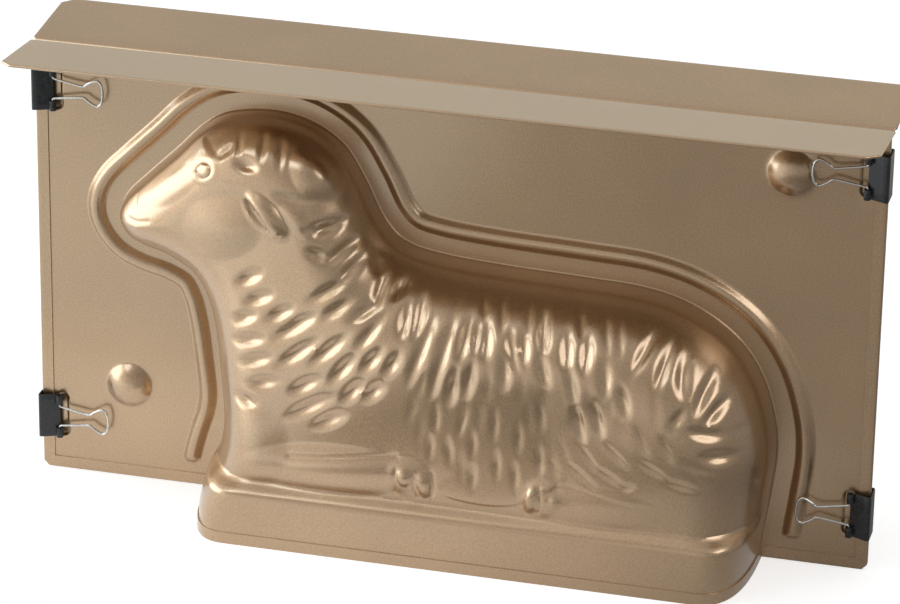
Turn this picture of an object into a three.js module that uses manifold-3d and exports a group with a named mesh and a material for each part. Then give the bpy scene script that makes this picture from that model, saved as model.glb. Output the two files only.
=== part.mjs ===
import * as THREE from 'three';
import Module from 'manifold-3d';
import { mergeVertices } from 'three/addons/utils/BufferGeometryUtils.js';

// Lamb cake mould: two pressed sheet halves held together by four sprung clips.
// Millimetres, +Z up. The lamb stands upright and looks along -X. The halves part
// at Y = 0, and the open rim that the batter is poured through lies at Z = 0.

// Sheet, plates and hems
const sheet = 0.5;
const partingGap = 0.3;
const plateWidth = 320;
const plateHeight = 174;
const hemWidth = 4.5;
const hemStep = 0.2;
const cornerCut = 2;

// Stand flanges along the top of the plates
const bendRadius = 1.5;
const flangeLength = 35.5;
const flangeOverhang = 1.5;
const flangeRise = THREE.MathUtils.degToRad(5);
const bendSteps = 3;

// Lamb and its base
const lambSideMargin = 35;
const lambTopMargin = 18.5;
const lambLength = plateWidth - 2 * lambSideMargin;
const lambHeight = plateHeight - lambTopMargin;
const lambCentreX = -1;
const bodyDepth = 43;
const bodyRoll = 32;
const depthBlend = 27;
const baseDepth = 45.5;
const baseRoll = 17;
const baseHeight = 20;
const ledgeRun = 5;
const bodySquareness = 2.2;
const baseSquareness = 2.8;

// Register bead and domes, which nest in each other when the mould is closed
const beadOffset = 11;
const beadFoot = 3.5;
const beadCrest = 1.2;
const beadHeight = 2.6;
const beadEndHeight = 12;
const beadEndRun = 3;
const domeRadius = 8.5;
const domeHeight = 4.5;
const domeInset = 35;
const lowerDomeHeight = 38;
const upperDomeDrop = 20.5;

// Clips
const clipWidth = 17.5;
const clipSteel = 0.45;
const clipSpineDepth = 9.6;
const clipSpineGap = 0.3;
const clipSlideGap = 0.25;
const clipJawInset = 7.2;
const clipCornerRadius = 0.9;
const curlRadius = 1.15;
const curlSweep = THREE.MathUtils.degToRad(262);
const curlLength = 3.85;
const notchShare = 0.3;
const lowerClipHeight = 22.3;
const upperClipDrop = 18;
const clipDimpleInset = 7.9;
const clipDimpleLength = 19.4;
const clipDimpleWidth = 6;
const clipDimpleDepth = 0.8;
const clipDimpleWall = 0.9;

// Wire handles of the clips
const wireRadius = 0.4;
const handleReach = 19.9;
const handleHeadHalf = 5;
const handleNeckHalf = 2.2;
const handleRootHalf = 3.9;
const handleFootEnd = 7.9;
const neckReachShare = 0.6;
const headShares = [[0.25, 0.66], [0.54, 0.92], [0.74, 1], [0.9, 0.8], [0.98, 0.4]];
const handleLift = THREE.MathUtils.degToRad(3);

// How finely the sheet is faceted
const outlineSteps = 180;
const outlineTurn = THREE.MathUtils.degToRad(11);
const outlineRun = 9;
const outlineDetail = 360;
const rowSpacing = 14;
const wallSpacing = 26;
const placeSpacing = 1.6;
const formSpacing = 2.4;
const wallDepth = 7;
const tieBreak = 0.0004;
const curlSteps = 9;
const cornerSteps = 2;
const wireSteps = 38;
const farReach = 20 * plateWidth;
const ringDepthShares = [0, 0.019, 0.063, 0.14, 0.266, 0.438, 0.656, 0.938, 1.25];
const domeRings = [[1, 14], [0.88, 14], [0.5, 8]];
const formRings = [[0, 1], [0.35, 8], [0.66, 14], [1, 18]];
const ledgeRowShares = [-0.7, 0, 0.3, 0.65, 1, 1.6];
const dimpleCorners = 8;
const wireCorners = 6;
const ringSlack = 0.3;
const nearRingSpacing = 2.4;
const farRingSpacing = 5.6;

const up = new THREE.Vector3(0, 0, 1);
const sheetTop = plateHeight - bendRadius - sheet;
const ringDepths = ringDepthShares.map((share) => share * bodyRoll);
const lambLeft = lambCentreX - lambLength / 2;

// The lamb where it meets the plate, from the left end of the base, round the head and back
const outlineShares = [
  [0.144, 0], [0.146, 0.064], [0.156, 0.128], [0.168, 0.193], [0.172, 0.257], [0.166, 0.354],
  [0.158, 0.45], [0.146, 0.527], [0.124, 0.588], [0.084, 0.624], [0.04, 0.643], [0.014, 0.665],
  [0, 0.707], [0.01, 0.752], [0.04, 0.804], [0.088, 0.881], [0.128, 0.947], [0.168, 0.985],
  [0.232, 1], [0.292, 0.981], [0.34, 0.931], [0.372, 0.851], [0.4, 0.762], [0.434, 0.707],
  [0.488, 0.684], [0.584, 0.672], [0.704, 0.665], [0.8, 0.656], [0.872, 0.624], [0.932, 0.563],
  [0.972, 0.476], [0.994, 0.373], [1, 0.283], [0.994, 0.18], [0.986, 0.077], [0.982, 0],
];

// Where the relief is how deep and how wide it rolls off: x, z, depth, roll
const depthShares = [
  [0.03, 0.69, 0.26, 0.28], [0.084, 0.74, 0.42, 0.44], [0.164, 0.77, 0.62, 0.62],
  [0.232, 0.87, 0.63, 0.74], [0.324, 0.77, 0.76, 0.8], [0.184, 0.55, 0.74, 0.6],
  [0.2, 0.36, 0.92, 0.72], [0.344, 0.45, 1, 0.94], [0.584, 0.48, 0.98, 1],
  [0.82, 0.44, 0.98, 1], [0.92, 0.26, 0.98, 0.8], [0.2, 0.16, 0.92, 0.55],
  [0.5, 0.16, 0.93, 0.6], [0.9, 0.12, 0.96, 0.6],
];

// Raised forms on the lamb: x, z, half length, half width, turn in degrees, rise
const formShares = {
  ear: [0.255, 0.804, 0.054, 0.028, -39, 0.09],
  cheek: [0.184, 0.76, 0.068, 0.05, 20, 0.05],
  elbow: [0.232, 0.225, 0.07, 0.054, 62, 0.07],
  foreleg: [0.372, 0.21, 0.15, 0.038, 4, 0.12],
  frontHoof: [0.502, 0.215, 0.03, 0.03, 0, 0.09],
  hindHoof: [0.684, 0.205, 0.034, 0.03, 8, 0.1],
  thigh: [0.84, 0.33, 0.14, 0.11, 12, 0.06],
};

function lambPlace([xShare, zShare]) {
  return new THREE.Vector2(lambLeft + xShare * lambLength, zShare * lambHeight);
}

const outlineCurve = new THREE.SplineCurve(outlineShares.map(lambPlace));
const outline = outlineCurve.getSpacedPoints(outlineDetail);

// Distance from a place to the lamb's outline, positive inside the lamb
function insideDistance(place) {
  let nearest = Infinity;
  let inside = false;
  for (let index = 0; index < outline.length - 1; index++) {
    const start = outline[index];
    const end = outline[index + 1];
    const run = end.clone().sub(start);
    const along = THREE.MathUtils.clamp(place.clone().sub(start).dot(run) / run.lengthSq(), 0, 1);
    nearest = Math.min(nearest, start.clone().addScaledVector(run, along).distanceTo(place));
    if (start.y > place.y !== end.y > place.y) {
      const crossing = start.x + (place.y - start.y) / run.y * run.x;
      if (crossing > place.x) {
        inside = !inside;
      }
    }
  }
  return inside ? nearest : -nearest;
}

// A roll-off that leaves the plate nearly upright and levels out at its full depth
function rollOff(distance, roll, squareness) {
  const left = 1 - Math.min(distance / roll, 1);
  return (1 - left ** squareness) ** (1 / squareness);
}

function bodyAt(place) {
  let weights = 0;
  let depth = 0;
  let roll = 0;
  for (const [xShare, zShare, depthShare, rollShare] of depthShares) {
    const apart = lambPlace([xShare, zShare]).distanceTo(place) / depthBlend;
    const weight = Math.exp(-apart * apart / 2);
    weights += weight;
    depth += weight * depthShare * bodyDepth;
    roll += weight * rollShare * bodyRoll;
  }
  return { depth: depth / weights, roll: roll / weights };
}

function formPlace([xShare, zShare, longShare, wideShare, turn], radius, angle) {
  const spot = new THREE.Vector2(Math.cos(angle) * longShare, Math.sin(angle) * wideShare);
  spot.multiplyScalar(radius * lambLength);
  spot.rotateAround(new THREE.Vector2(), THREE.MathUtils.degToRad(turn));
  return spot.add(lambPlace([xShare, zShare]));
}

function formRise([xShare, zShare, longShare, wideShare, turn, riseShare], place) {
  const spot = place.clone().sub(lambPlace([xShare, zShare]));
  spot.rotateAround(new THREE.Vector2(), -THREE.MathUtils.degToRad(turn));
  const outward = Math.hypot(spot.x / longShare, spot.y / wideShare) / lambLength;
  return outward < 1 ? riseShare * bodyDepth * (1 - outward ** 2) ** 1.5 : 0;
}

// How far the lamb and its base stand out from the plate
function lambRelief(place) {
  const distance = insideDistance(place);
  if (distance <= 0) {
    return 0;
  }
  const { depth, roll } = bodyAt(place);
  let body = depth * rollOff(distance, roll, bodySquareness);
  for (const form of Object.values(formShares)) {
    body += formRise(form, place) * rollOff(distance, roll / 2, bodySquareness);
  }
  const base = baseDepth * rollOff(distance, baseRoll, baseSquareness);
  const above = THREE.MathUtils.smoothstep(place.y, baseHeight, baseHeight + ledgeRun);
  return THREE.MathUtils.lerp(base, Math.min(body, base), above);
}

const clipHeights = { lower: lowerClipHeight, upper: plateHeight - upperClipDrop };
const clipSides = { left: -1, right: 1 };
const dimplePlaces = Object.values(clipSides).flatMap((side) => Object.values(clipHeights).map(
  (height) => new THREE.Vector2(side * (plateWidth / 2 - clipDimpleInset), height),
));
const domePlaces = [
  new THREE.Vector2(domeInset - plateWidth / 2, lowerDomeHeight),
  new THREE.Vector2(plateWidth / 2 - domeInset, plateHeight - upperDomeDrop),
];

// The bead runs at one distance round the lamb and stops short of the base
function beadRise(place) {
  const apart = Math.abs(-insideDistance(place) - beadOffset);
  const across = 1 - THREE.MathUtils.clamp((apart - beadCrest) / (beadFoot - beadCrest), 0, 1);
  const end = THREE.MathUtils.smoothstep(place.y, beadEndHeight - beadEndRun, beadEndHeight);
  return beadHeight * across * end;
}

function domeRise(place) {
  const sphere = (domeRadius ** 2 + domeHeight ** 2) / (2 * domeHeight);
  const apart = Math.min(...domePlaces.map((dome) => dome.distanceTo(place)));
  return apart < domeRadius ? Math.sqrt(sphere ** 2 - apart ** 2) - sphere + domeHeight : 0;
}

function dimpleSink(place) {
  const apart = Math.min(...dimplePlaces.map((dimple) => {
    const spine = clipDimpleLength / 2 - clipDimpleWidth / 2;
    const beyond = Math.max(Math.abs(place.y - dimple.y) - spine, 0);
    return Math.hypot(place.x - dimple.x, beyond);
  }));
  const wall = (clipDimpleWidth / 2 - apart) / clipDimpleWall;
  return clipDimpleDepth * THREE.MathUtils.clamp(wall, 0, 1);
}

// Both halves are pressed forward alike at the bead, the domes and the clip dimples
function plateRise(place) {
  return beadRise(place) + domeRise(place) - dimpleSink(place);
}

// The places where the sheet has a vertex, seen from the front, x and z
const places = [];

function addPlace(x, z, clear) {
  const place = new THREE.Vector2(x, z);
  if (places.every((other) => other.distanceTo(place) >= clear)) {
    places.push(place);
  }
}

function between(start, end, spacing) {
  const count = Math.max(1, Math.round(Math.abs(end - start) / spacing));
  return Array.from({ length: count + 1 }, (_, index) => start + (end - start) * index / count);
}

// Where the outline crosses a height near the left end or the right end of the base
function outlineAcross(height, side) {
  const ends = side < 0 ? outline : outline.toReversed();
  const index = Math.max(1, ends.findIndex((point) => point.y > height));
  const share = (height - ends[index - 1].y) / (ends[index].y - ends[index - 1].y);
  return THREE.MathUtils.lerp(ends[index - 1].x, ends[index].x, share);
}

function addRow(height, clear, spacing) {
  const left = outlineAcross(height, -1);
  const right = outlineAcross(height, 1);
  ringDepths.slice(0, -2).forEach((depth) => {
    addPlace(left + depth, height, clear);
    addPlace(right - depth, height, clear);
  });
  const inner = ringDepths.at(-3);
  const count = Math.round((outlineAcross(0, 1) - outlineAcross(0, -1) - 2 * inner) / spacing);
  for (let index = 0; index <= count; index++) {
    addPlace(THREE.MathUtils.lerp(left + inner, right - inner, index / count), height, clear);
  }
}

const plateEdge = plateWidth / 2;
const hemLine = plateEdge - hemWidth;
const touching = hemStep / 2;

function addPlateEdges() {
  for (const side of Object.values(clipSides)) {
    const heights = between(hemWidth + hemStep, sheetTop, rowSpacing);
    for (const line of [plateEdge, hemLine, hemLine - hemStep]) {
      heights.forEach((height) => addPlace(side * line, height, touching));
    }
    addPlace(side * plateEdge, cornerCut, touching);
    addPlace(side * (plateEdge - cornerCut), 0, touching);
    addPlace(side * hemLine, hemWidth, touching);
    const lambEdge = outlineAcross(0, side) + side * (beadOffset + beadFoot);
    const alongs = between(side * (hemLine - hemStep), lambEdge, rowSpacing);
    for (const height of [0, hemWidth, hemWidth + hemStep]) {
      alongs.forEach((x) => addPlace(x, height, touching));
    }
  }
  between(hemStep - hemLine, hemLine - hemStep, wallSpacing).forEach((x) => {
    addPlace(x, sheetTop, touching);
  });
  [0, hemWidth, hemWidth + hemStep].forEach((height) => addRow(height, touching, rowSpacing));
}

function addRound(centre, radius, count, stretch) {
  for (let index = 0; index < count; index++) {
    const angle = (index + 0.5) / count * 2 * Math.PI;
    const rise = Math.sin(angle) * radius;
    addPlace(centre.x + Math.cos(angle) * radius, centre.y + rise + Math.sign(rise) * stretch, touching);
  }
}

function addPressings() {
  for (const dome of domePlaces) {
    addPlace(dome.x, dome.y, touching);
    domeRings.forEach(([share, count]) => addRound(dome, share * domeRadius, count, 0));
  }
  for (const dimple of dimplePlaces) {
    const stretch = clipDimpleLength / 2 - clipDimpleWidth / 2;
    addRound(dimple, clipDimpleWidth / 2, dimpleCorners, stretch);
    addRound(dimple, clipDimpleWidth / 2 - clipDimpleWall, dimpleCorners, stretch);
  }
}

function addForms() {
  for (const form of Object.values(formShares)) {
    for (const [radius, count] of formRings) {
      for (let index = 0; index < count; index++) {
        const spot = formPlace(form, radius, index / count * 2 * Math.PI);
        if (insideDistance(spot) > wallDepth && spot.y > baseHeight + ledgeRun) {
          addPlace(spot.x, spot.y, formSpacing);
        }
      }
    }
  }
}

// Stations along the outline, closer together where it bends
function outlineStations() {
  const stations = [];
  let last = null;
  for (let index = 0; index <= outlineSteps; index++) {
    const along = index / outlineSteps;
    const tangent = outlineCurve.getTangentAt(along);
    const point = outlineCurve.getPointAt(along);
    const turned = last && Math.abs(tangent.clone().cross(last.tangent)) > Math.sin(outlineTurn);
    if (!last || turned || point.distanceTo(last.point) > outlineRun || index === outlineSteps) {
      last = { tangent, point, inward: new THREE.Vector2(tangent.y, -tangent.x) };
      stations.push(last);
    }
  }
  return stations;
}

// Rings at set distances from the outline, left out where the lamb is narrower than that
function addRings() {
  const fixed = [...places];
  const stations = outlineStations();
  const beadRings = [beadFoot, beadCrest, -beadCrest, -beadFoot].map((side) => -beadOffset - side);
  for (const depth of [...beadRings, ...ringDepths]) {
    let last = new THREE.Vector2(Infinity, 0);
    const spacing = depth > wallDepth ? farRingSpacing : nearRingSpacing;
    for (const { point, inward } of stations) {
      const spot = point.clone().addScaledVector(inward, depth);
      const aboveHem = hemWidth + hemStep + (depth > wallDepth ? rowSpacing / 2 : placeSpacing);
      const lowest = depth < 0 ? beadEndHeight - beadEndRun : aboveHem;
      const real = Math.abs(insideDistance(spot) - depth) < ringSlack;
      const free = fixed.every((other) => other.distanceTo(spot) > placeSpacing);
      if (spot.y > lowest && real && free && last.distanceTo(spot) > spacing) {
        places.push(spot);
        last = spot;
      }
    }
  }
}

// Joins places by triangles whose circles hold no other place
function joinPlaces() {
  const count = places.length;
  const spread = places.map((place, index) => {
    const edge = Math.abs(place.x) >= plateEdge || place.y <= 0 || place.y >= sheetTop;
    const nudge = edge ? 0 : tieBreak * Math.sin(index * index);
    return new THREE.Vector2(place.x + nudge, place.y + nudge / 2);
  });
  spread.push(new THREE.Vector2(-farReach, -farReach));
  spread.push(new THREE.Vector2(farReach, -farReach));
  spread.push(new THREE.Vector2(0, farReach));

  function circled(first, second, third) {
    const [a, b, c] = [spread[first], spread[second], spread[third]];
    const ab = b.clone().sub(a);
    const ac = c.clone().sub(a);
    const twice = 2 * ab.cross(ac);
    const x = (ac.y * ab.lengthSq() - ab.y * ac.lengthSq()) / twice;
    const y = (ab.x * ac.lengthSq() - ac.x * ab.lengthSq()) / twice;
    const centre = new THREE.Vector2(a.x + x, a.y + y);
    return { corners: [first, second, third], centre, reach: x * x + y * y };
  }

  let triangles = [circled(count, count + 1, count + 2)];
  for (let index = 0; index < count; index++) {
    const open = new Map();
    triangles = triangles.filter(({ corners, centre, reach }) => {
      if (spread[index].distanceToSquared(centre) >= reach) {
        return true;
      }
      corners.forEach((from, corner) => {
        const to = corners[(corner + 1) % 3];
        if (!open.delete(`${to} ${from}`)) {
          open.set(`${from} ${to}`, [from, to]);
        }
      });
      return false;
    });
    open.forEach(([from, to]) => triangles.push(circled(from, to, index)));
  }
  const kept = triangles.filter(({ corners }) => corners.every((corner) => corner < count));
  return kept.map(({ corners }) => corners);
}

addPlateEdges();
addPressings();
ledgeRowShares.forEach((share) => addRow(baseHeight + share * ledgeRun, placeSpacing / 2, rowSpacing / 2));
addForms();
addRings();
const plateTriangles = joinPlaces();
const reliefs = places.map((place) => ({ plate: plateRise(place), lamb: lambRelief(place) }));

// One half: side -1 is the front half, side 1 the back half
function makeHalf(side) {
  const inner = places.map((place, index) => {
    const { plate, lamb } = reliefs[index];
    return new THREE.Vector3(place.x, side * (partingGap / 2 + lamb) - plate, place.y);
  });
  const triangles = [...plateTriangles];
  const normals = inner.map(() => new THREE.Vector3());
  for (const [a, b, c] of plateTriangles) {
    const ab = inner[b].clone().sub(inner[a]);
    const ac = inner[c].clone().sub(inner[a]);
    const facing = ab.cross(ac).multiplyScalar(-side);
    [a, b, c].forEach((corner) => normals[corner].add(facing));
  }
  const outer = inner.map((point, index) => {
    const place = places[index];
    const normal = normals[index];
    if (place.y <= 0) {
      normal.z = 0;
    }
    if (Math.abs(place.x) >= plateEdge) {
      normal.x = 0;
    }
    if (place.y >= sheetTop) {
      normal.set(0, side, 0);
    }
    const hemmed = Math.abs(place.x) >= hemLine || place.y <= hemWidth;
    return point.clone().addScaledVector(normal.normalize(), hemmed ? 2 * sheet : sheet);
  });

  // The flange: a bend out of the plate, then a flat run with its hem turned under
  const columns = places.map((_, index) => index).filter((index) => places[index].y >= sheetTop);
  columns.sort((a, b) => places[a].x - places[b].x);
  const bendCentre = new THREE.Vector2(partingGap / 2 + sheet + bendRadius, sheetTop);
  const bendEnd = Math.PI / 2 - flangeRise;
  const runs = [0, flangeLength - hemWidth - hemStep, flangeLength - hemWidth, flangeLength];
  const sections = [];
  for (let step = 1; step < bendSteps; step++) {
    sections.push({ angle: bendEnd * step / bendSteps, run: 0, spread: step / bendSteps });
  }
  runs.forEach((run) => sections.push({ angle: bendEnd, run, spread: 1 }));
  let below = columns;
  for (const { angle, run, spread } of sections) {
    const last = run === flangeLength;
    const row = columns.map((index, column) => {
      if (last && (column === 0 || column === columns.length - 1)) {
        return null;
      }
      const x = places[index].x * (1 + spread * flangeOverhang / plateEdge);
      const hemmed = Math.abs(places[index].x) >= hemLine || run > runs[1];
      const radii = [bendRadius + sheet, hemmed ? bendRadius - sheet : bendRadius];
      const [top, under] = radii.map((radius) => new THREE.Vector3(
        x,
        side * (bendCentre.x - radius * Math.cos(angle) + run * Math.cos(flangeRise)),
        bendCentre.y + radius * Math.sin(angle) + run * Math.sin(flangeRise),
      ));
      inner.push(top);
      outer.push(under);
      return inner.length - 1;
    });
    for (let column = 0; column < columns.length - 1; column++) {
      const [a, b, c, d] = [below[column], below[column + 1], row[column + 1], row[column]];
      if (c === null) {
        triangles.push([a, b, d]);
      } else if (d === null) {
        triangles.push([a, b, c]);
      } else {
        triangles.push([a, b, c], [a, c, d]);
      }
    }
    below = row;
  }
  return closeSheet(inner, outer, triangles, side);
}

// Joins the two faces of a sheet along its free edges
function closeSheet(inner, outer, triangles, side) {
  const count = outer.length;
  const faces = [];
  const edges = new Map();
  for (const corners of triangles) {
    faces.push(corners);
    faces.push(corners.map((corner) => corner + count).reverse());
    corners.forEach((from, corner) => {
      const to = corners[(corner + 1) % 3];
      if (!edges.delete(`${to} ${from}`)) {
        edges.set(`${from} ${to}`, [from, to]);
      }
    });
  }
  edges.forEach(([from, to]) => {
    faces.push([to, from, from + count], [to, from + count, to + count]);
  });
  const geometry = new THREE.BufferGeometry();
  geometry.setFromPoints([...outer, ...inner]);
  geometry.setIndex(faces.flatMap((face) => (side < 0 ? face : face.toReversed())));
  return geometry;
}

const wasm = await Module();
wasm.setup();

function toSolid(geometry) {
  geometry.deleteAttribute('normal');
  geometry.deleteAttribute('uv');
  const merged = mergeVertices(geometry);
  return new wasm.Manifold(new wasm.Mesh({
    numProp: 3,
    vertProperties: new Float32Array(merged.attributes.position.array),
    triVerts: new Uint32Array(merged.index.array),
  }));
}

function toGeometry(solid) {
  const { vertProperties, triVerts } = solid.getMesh();
  const geometry = new THREE.BufferGeometry();
  geometry.setAttribute('position', new THREE.BufferAttribute(vertProperties, 3));
  geometry.setIndex(new THREE.BufferAttribute(triVerts, 1));
  return geometry;
}

// Clip, drawn on the left edge of the plates: x runs inward from the plate's edge, y across it
const hemFace = partingGap / 2 + 2 * sheet;
const jawLine = hemFace + clipSlideGap + clipSteel / 2;
const hingeDepth = jawLine + curlRadius;
const spineLine = -clipSpineGap - clipSteel / 2;

// Half of the bent strip's middle line, from the spine's middle to the end of the curl
function clipHalfLine() {
  const depth = clipSpineDepth / 2 - clipSteel / 2;
  const line = [];
  for (let step = 0; step <= cornerSteps; step++) {
    const angle = Math.PI / 2 * step / cornerSteps;
    const x = spineLine + clipCornerRadius * (1 - Math.cos(angle));
    line.push(new THREE.Vector2(x, -depth + clipCornerRadius * (1 - Math.sin(angle))));
  }
  for (let step = 0; step <= curlSteps; step++) {
    const angle = Math.PI / 2 - curlSweep * step / curlSteps;
    const x = clipJawInset + curlRadius * Math.cos(angle);
    line.push(new THREE.Vector2(x, -hingeDepth + curlRadius * Math.sin(angle)));
  }
  return line;
}

function stripShape(line, thickness) {
  const sides = [1, -1].map((side) => line.map((point, index) => {
    const before = line[Math.max(index - 1, 0)];
    const after = line[Math.min(index + 1, line.length - 1)];
    const along = after.clone().sub(before).normalize();
    return point.clone().addScaledVector(new THREE.Vector2(-along.y, along.x), side * thickness / 2);
  }));
  return new THREE.Shape([...sides[0], ...sides[1].toReversed()]);
}

function makeClipBody() {
  const front = clipHalfLine();
  const rear = front.map((point) => new THREE.Vector2(point.x, -point.y)).reverse();
  const strip = new THREE.ExtrudeGeometry(
    stripShape([...rear, ...front], clipSteel),
    { depth: clipWidth, steps: 1, bevelEnabled: false },
  );
  strip.translate(0, 0, -clipWidth / 2);
  let body = toSolid(strip);
  const notchWidth = clipWidth - 2 * curlLength;
  const notchSize = 2 * curlRadius + 2 * clipSteel;
  for (const side of [-1, 1]) {
    const notch = new THREE.BoxGeometry(notchSize, notchSize, notchWidth);
    notch.translate(clipJawInset, side * (hingeDepth - notchShare * curlRadius + notchSize / 2), 0);
    body = body.subtract(toSolid(notch));
    const lip = new THREE.BoxGeometry(notchSize, 2 * notchSize, notchWidth);
    lip.translate(clipJawInset + notchSize / 2, side * hingeDepth, 0);
    body = body.subtract(toSolid(lip));
  }
  return toGeometry(body);
}

// Wire handle, drawn from its hinge line: x runs away from the hinge, z along it
function makeHandle() {
  const corner = handleRootHalf + 2 * wireRadius;
  const neck = neckReachShare * handleReach;
  const side = [
    [0, handleFootEnd], [0, (corner + handleFootEnd) / 2], [0, corner],
    [wireRadius / 2, handleRootHalf + wireRadius], [2 * wireRadius, handleRootHalf],
    [neck / 2, (handleRootHalf + handleNeckHalf) / 2], [neck, handleNeckHalf],
    ...headShares.map(([reachShare, halfShare]) => [
      THREE.MathUtils.lerp(neck, handleReach, reachShare),
      THREE.MathUtils.lerp(0, handleHeadHalf, halfShare),
    ]),
  ];
  const line = side.map(([x, z]) => new THREE.Vector3(x, 0, z));
  const back = side.map(([x, z]) => new THREE.Vector3(x, 0, -z)).reverse();
  const path = new THREE.CatmullRomCurve3([...line, new THREE.Vector3(handleReach, 0, 0), ...back]);
  const section = new THREE.Shape();
  for (let index = 0; index < wireCorners; index++) {
    const angle = (index + 0.5) / wireCorners * 2 * Math.PI;
    const method = index === 0 ? 'moveTo' : 'lineTo';
    section[method](wireRadius * Math.cos(angle), wireRadius * Math.sin(angle));
  }
  const settings = { steps: wireSteps, extrudePath: path, bevelEnabled: false };
  const wire = new THREE.ExtrudeGeometry(section, settings);
  wire.deleteAttribute('normal');
  wire.deleteAttribute('uv');
  return mergeVertices(wire);
}

const frontCoating = new THREE.MeshStandardMaterial({ color: 0xb5a184, roughness: 0.38, metalness: 0.75 });
const backCoating = new THREE.MeshStandardMaterial({ color: 0xa8906f, roughness: 0.4, metalness: 0.75 });
const blackSteel = new THREE.MeshStandardMaterial({ color: 0x16181a, roughness: 0.35, metalness: 0.3 });
const brightWire = new THREE.MeshStandardMaterial({ color: 0xc9c8c4, roughness: 0.2, metalness: 1 });

const group = new THREE.Group();

function addMesh(parent, name, geometry, material) {
  const mesh = new THREE.Mesh(geometry, material);
  mesh.name = name;
  parent.add(mesh);
  return mesh;
}

addMesh(group, 'front_half', makeHalf(-1), frontCoating);
addMesh(group, 'back_half', makeHalf(1), backCoating);

const clipBody = makeClipBody();
const handle = makeHandle();
for (const [sideName, side] of Object.entries(clipSides)) {
  for (const [levelName, height] of Object.entries(clipHeights)) {
    const clip = new THREE.Group();
    clip.position.set(side * plateEdge, 0, height);
    clip.setRotationFromAxisAngle(up, side < 0 ? 0 : Math.PI);
    group.add(clip);
    const name = `${sideName}_${levelName}_clip`;
    addMesh(clip, `${name}_body`, clipBody, blackSteel);
    for (const face of [-1, 1]) {
      const facing = face * side > 0 ? 'front' : 'rear';
      const wire = addMesh(clip, `${name}_${facing}_handle`, handle, brightWire);
      wire.position.set(clipJawInset, face * hingeDepth, 0);
      wire.setRotationFromAxisAngle(up, face * handleLift);
    }
  }
}

export default group;
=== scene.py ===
import math

import bpy
import numpy as np
from mathutils import Matrix, Vector
from mathutils.geometry import delaunay_2d_cdt
from mathutils.kdtree import KDTree


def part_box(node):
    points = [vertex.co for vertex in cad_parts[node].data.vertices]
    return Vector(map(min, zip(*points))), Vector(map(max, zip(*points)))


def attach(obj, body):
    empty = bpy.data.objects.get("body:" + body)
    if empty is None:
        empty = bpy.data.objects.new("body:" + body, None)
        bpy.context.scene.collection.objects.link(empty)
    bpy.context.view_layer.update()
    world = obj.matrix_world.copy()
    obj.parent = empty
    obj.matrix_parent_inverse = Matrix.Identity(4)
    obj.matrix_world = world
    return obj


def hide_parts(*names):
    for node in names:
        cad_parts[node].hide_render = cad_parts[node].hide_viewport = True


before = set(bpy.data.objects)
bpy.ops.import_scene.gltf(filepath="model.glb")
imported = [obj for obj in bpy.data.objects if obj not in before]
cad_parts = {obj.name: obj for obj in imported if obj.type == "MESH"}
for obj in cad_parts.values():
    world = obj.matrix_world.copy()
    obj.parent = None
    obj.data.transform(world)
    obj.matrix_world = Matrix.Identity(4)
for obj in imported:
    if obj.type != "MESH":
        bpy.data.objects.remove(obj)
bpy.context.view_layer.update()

# Lamb cake mould. Sizes below are in millimetres in the row frame: X along the plates with the
# lamb looking to -X, the front half towards -Y, Z up from the open rim. mm turns them to metres.
mm = 0.001

plates = {
    "sheet": 0.5,                # thickness of the pressed sheet
    "partingGap": 0.3,           # between the two closed halves
    "height": 174.0,             # up to the top of the flange's bend
    "deepest": 46.62,            # no detail stands out past the base's front
    "flangeOverhang": 1.5,       # the flange is this much longer at each end
    "hemWidth": 4.5,
    "hemStep": 0.2,              # run-out of the folded edge
    "cornerCut": 2.0,
    "bendRadius": 1.5,
    "flangeLength": 35.5,
    "flangeRise": math.radians(5),
    "flangeChamfer": 4.6,
    "chamferSlope": 0.92,
    "hemSwell": 0.2,             # the folded hem is fullest at its outer edge
    "mitreWidth": 0.35,          # the fold line across the lower corners
    "mitreDepth": 0.16,
}
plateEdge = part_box("front_half")[1].x / mm - plates["flangeOverhang"]
sheetTop = plates["height"] - plates["bendRadius"] - plates["sheet"]
hemLine = plateEdge - plates["hemWidth"]

lamb = {
    "sideMargin": 35.0,
    "topMargin": 18.5,
    "centreX": -1.0,
    "bodyDepth": 43.0,
    "bodyRoll": 32.0,
    "depthBlend": 27.0,
    "bodySquareness": 2.2,
    "baseDepth": 45.5,
    "baseRoll": 17.0,
    "baseHeight": 20.0,
    "ledgeRun": 5.0,
    "baseSquareness": 2.8,
    "footFillet": 1.3,           # small radius where the lamb rises out of the plate
    "detailFade": (1.5, 4),      # details start this far inside the outline
    "detailFoot": (22, 26),      # and this far above the rim, so the base stays plain
}
lamb["length"] = 2 * (plateEdge - lamb["sideMargin"])
lamb["height"] = plates["height"] - lamb["topMargin"]
lambLeft = lamb["centreX"] - lamb["length"] / 2

# The lamb where it meets the plate, from the left end of the base, round the head and back
outlineShares = [
    (0.144, 0), (0.146, 0.064), (0.156, 0.128), (0.168, 0.193), (0.172, 0.257), (0.166, 0.354),
    (0.158, 0.45), (0.146, 0.527), (0.124, 0.588), (0.084, 0.624), (0.04, 0.643), (0.014, 0.665),
    (0, 0.707), (0.01, 0.752), (0.04, 0.804), (0.088, 0.881), (0.128, 0.947), (0.168, 0.985),
    (0.232, 1), (0.292, 0.981), (0.34, 0.931), (0.372, 0.851), (0.4, 0.762), (0.434, 0.707),
    (0.488, 0.684), (0.584, 0.672), (0.704, 0.665), (0.8, 0.656), (0.872, 0.624), (0.932, 0.563),
    (0.972, 0.476), (0.994, 0.373), (1, 0.283), (0.994, 0.18), (0.986, 0.077), (0.982, 0),
]

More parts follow.
